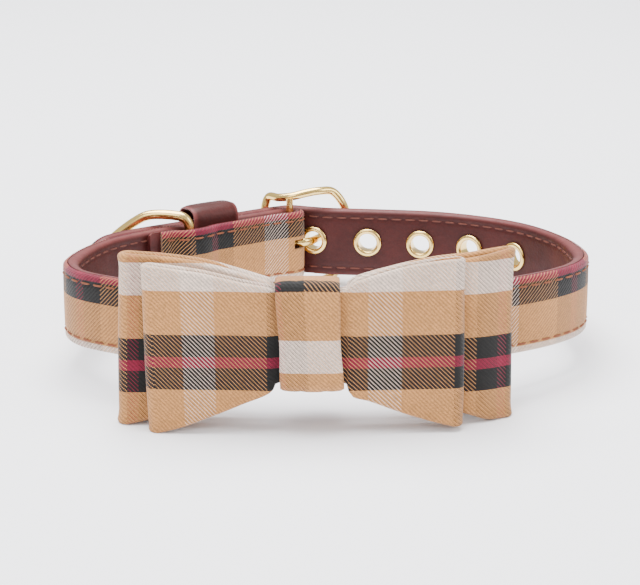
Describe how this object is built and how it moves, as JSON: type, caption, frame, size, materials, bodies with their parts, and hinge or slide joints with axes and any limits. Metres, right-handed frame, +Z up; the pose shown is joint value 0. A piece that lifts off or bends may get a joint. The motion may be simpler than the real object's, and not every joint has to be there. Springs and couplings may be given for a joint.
{
  "type": "pet bow tie collar",
  "caption": "Small pet's neck collar: plaid cloth strap lined with leather, a layered cloth bow tie in front, and a brass-coloured buckle, eyelets, keeper loop and D-ring at the back.",
  "frame": {"origin": "middle of the bounding box's base, on the table that the collar stands on", "axes": "+X to the right of the bow as it is looked at, +Y from the bow back to the buckle, +Z up"},
  "size_m": [0.1508, 0.123, 0.0473],
  "materials": {
    "plaid_cloth": null,
    "brown_leather": "smooth reddish brown, slightly shiny",
    "gold_metal": "polished pale gold"
  },
  "bodies": {
    "collar": {"strap_cover": "plaid_cloth", "strap_lining": "brown_leather", "eyelet_1": "gold_metal", "eyelet_2": "gold_metal", "eyelet_3": "gold_metal", "eyelet_4": "gold_metal", "eyelet_5": "gold_metal", "buckle_frame": "gold_metal", "buckle_prong": "gold_metal", "keeper_loop": "brown_leather", "bow_rear": "plaid_cloth", "bow_front": "plaid_cloth", "bow_knot": "plaid_cloth"},
    "d_ring": {"d_ring": "gold_metal"}
  },
  "joints": [
    {"name": "d_ring_hinge", "type": "hinge", "parent": "collar", "child": "d_ring", "pos_m": [-0.04236, 0.02941, 0.01692], "axis": [0, 0.0941, 0.9956], "range_deg": [-54, 0]}
  ]
}
